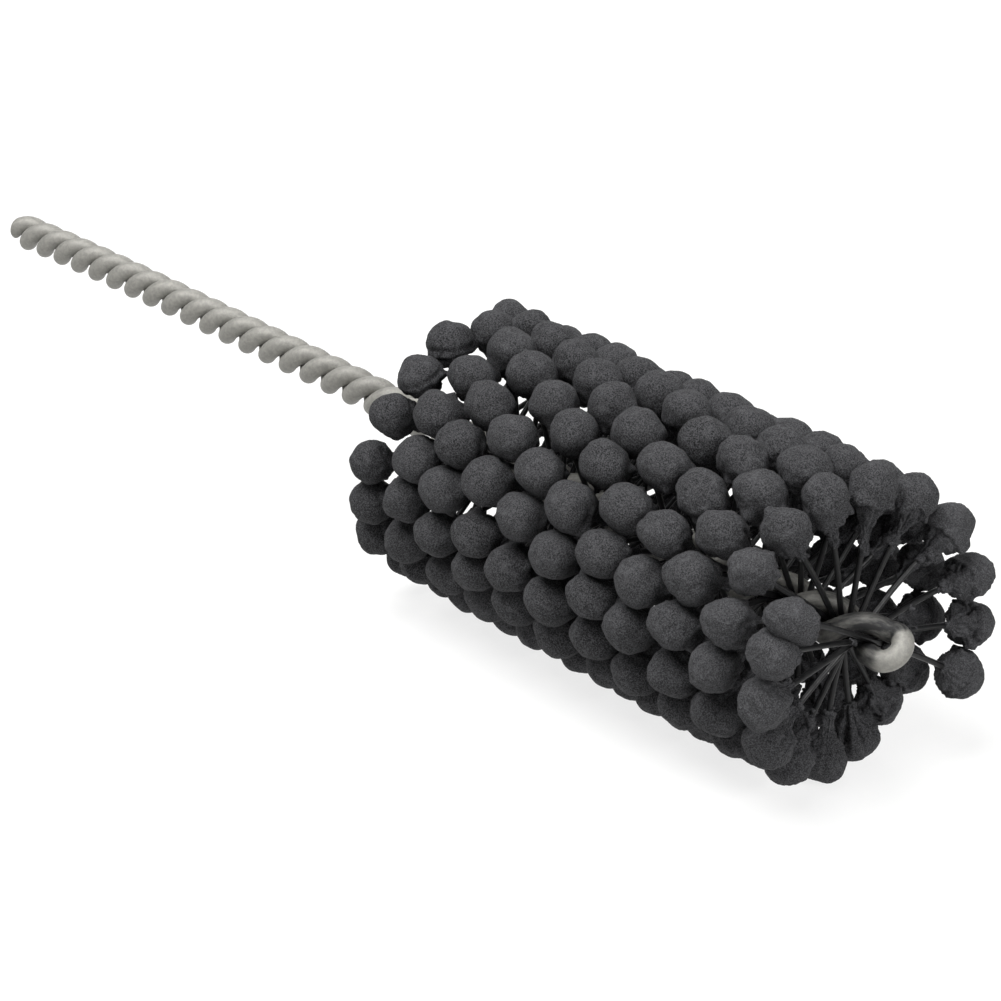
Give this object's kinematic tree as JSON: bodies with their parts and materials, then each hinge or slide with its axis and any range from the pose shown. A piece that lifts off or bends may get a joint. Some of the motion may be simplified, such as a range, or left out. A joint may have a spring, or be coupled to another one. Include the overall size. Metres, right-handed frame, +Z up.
{
  "type": "flexible ball hone",
  "caption": "Flexible hone for cylinder bores: abrasive globules on nylon filaments that fan out from a folded and twisted steel wire, whose plain end is the shank.",
  "frame": {"origin": "on the tool's axis, at the cut end of the shank", "axes": "+X along the tool's axis from the shank to the nose, +Z up with the tool lying on its globules"},
  "size_m": [0.207, 0.0436, 0.0436],
  "materials": {
    "spring_steel_wire": "satin",
    "nylon_filament": "satin",
    "abrasive_compound": "matte"
  },
  "bodies": {
    "root": {"core_wire": "spring_steel_wire", "filament_row_01": "nylon_filament", "filament_row_02": "nylon_filament", "filament_row_03": "nylon_filament", "filament_row_04": "nylon_filament", "filament_row_05": "nylon_filament", "filament_row_06": "nylon_filament", "filament_row_07": "nylon_filament", "filament_row_08": "nylon_filament", "filament_row_09": "nylon_filament", "filament_row_10": "nylon_filament", "filament_row_11": "nylon_filament", "globule_row_01a": "abrasive_compound", "globule_row_01b": "abrasive_compound", "globule_row_02a": "abrasive_compound", "globule_row_02b": "abrasive_compound", "globule_row_03a": "abrasive_compound", "globule_row_03b": "abrasive_compound", "globule_row_04a": "abrasive_compound", "globule_row_04b": "abrasive_compound", "globule_row_05a": "abrasive_compound", "globule_row_05b": "abrasive_compound", "globule_row_06a": "abrasive_compound", "globule_row_06b": "abrasive_compound", "globule_row_07a": "abrasive_compound", "globule_row_07b": "abrasive_compound", "globule_row_08a": "abrasive_compound", "globule_row_08b": "abrasive_compound", "globule_row_09a": "abrasive_compound", "globule_row_09b": "abrasive_compound", "globule_row_10a": "abrasive_compound", "globule_row_10b": "abrasive_compound", "globule_row_11a": "abrasive_compound", "globule_row_11b": "abrasive_compound"}
  },
  "joints": []
}
